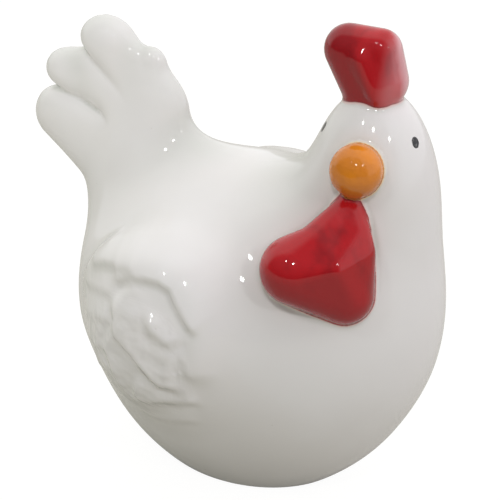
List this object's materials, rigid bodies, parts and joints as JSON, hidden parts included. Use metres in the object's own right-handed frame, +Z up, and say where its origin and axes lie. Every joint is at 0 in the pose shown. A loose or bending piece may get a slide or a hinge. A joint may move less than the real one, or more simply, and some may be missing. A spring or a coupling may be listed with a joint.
{
  "type": "hen figurine",
  "caption": "Glazed ceramic hen with a fan tail, carved wings, a head turned aside, and a painted comb, beak and wattle.",
  "frame": {"origin": "bottom centre of the bounding box, on the plane that the foot stands on", "axes": "+Z up, +X the way the body faces (breast forward, tail back), +Y the hen's left; the face is turned towards -Y"},
  "size_m": [0.1522, 0.116, 0.1593],
  "materials": {
    "white_glaze": "clear gloss glaze over white; comb and wattle painted red, beak orange, eyes charcoal"
  },
  "bodies": {
    "root": {"hen": "white_glaze"}
  },
  "joints": []
}
